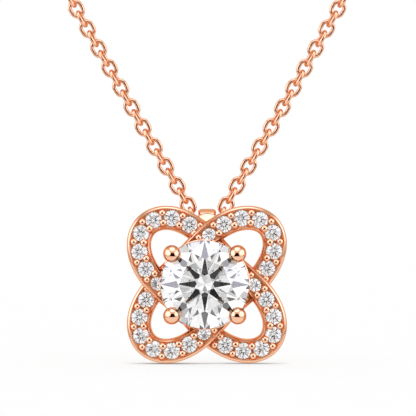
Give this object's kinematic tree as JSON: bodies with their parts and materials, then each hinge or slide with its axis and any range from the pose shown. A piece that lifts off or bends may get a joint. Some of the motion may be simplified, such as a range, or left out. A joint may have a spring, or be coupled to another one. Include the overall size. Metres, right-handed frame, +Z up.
{
  "type": "petal cross pendant necklace",
  "caption": "Pendant of two interlaced stone-set ovals round a large round stone in ball-tipped prongs, hung by a hidden bail on a fine cable chain with a plain ring clasp.",
  "frame": {"origin": "the nape, at the middle of the clasp ring's inner face, where the necklace hangs on a neck", "axes": "+Z up, +X to the wearer's left, +Y from the wearer's front to the back, so the pendant faces -Y"},
  "size_m": [0.1158, 0.0891, 0.1348],
  "materials": {
    "gold": "polished rose gold",
    "large_stone": "clear, brilliant cut",
    "small_stones": "clear, brilliant cut"
  },
  "bodies": {
    "necklace": {"chain": "gold", "clasp": "gold"},
    "pendant": {"setting": "gold", "center_stone": "large_stone", "accent_stone_01": "small_stones", "accent_stone_02": "small_stones", "accent_stone_03": "small_stones", "accent_stone_04": "small_stones", "accent_stone_05": "small_stones", "accent_stone_06": "small_stones", "accent_stone_07": "small_stones", "accent_stone_08": "small_stones", "accent_stone_09": "small_stones", "accent_stone_10": "small_stones", "accent_stone_11": "small_stones", "accent_stone_12": "small_stones", "accent_stone_13": "small_stones", "accent_stone_14": "small_stones", "accent_stone_15": "small_stones", "accent_stone_16": "small_stones", "accent_stone_17": "small_stones", "accent_stone_18": "small_stones", "accent_stone_19": "small_stones", "accent_stone_20": "small_stones", "accent_stone_21": "small_stones", "accent_stone_22": "small_stones", "accent_stone_23": "small_stones", "accent_stone_24": "small_stones", "accent_stone_25": "small_stones", "accent_stone_26": "small_stones", "accent_stone_27": "small_stones", "accent_stone_28": "small_stones"}
  },
  "joints": [
    {"name": "pendant_swing", "type": "hinge", "parent": "necklace", "child": "pendant", "pos_m": [0, -0.085, -0.122], "axis": [1, 0, 0], "range_deg": [-10, 90]}
  ]
}
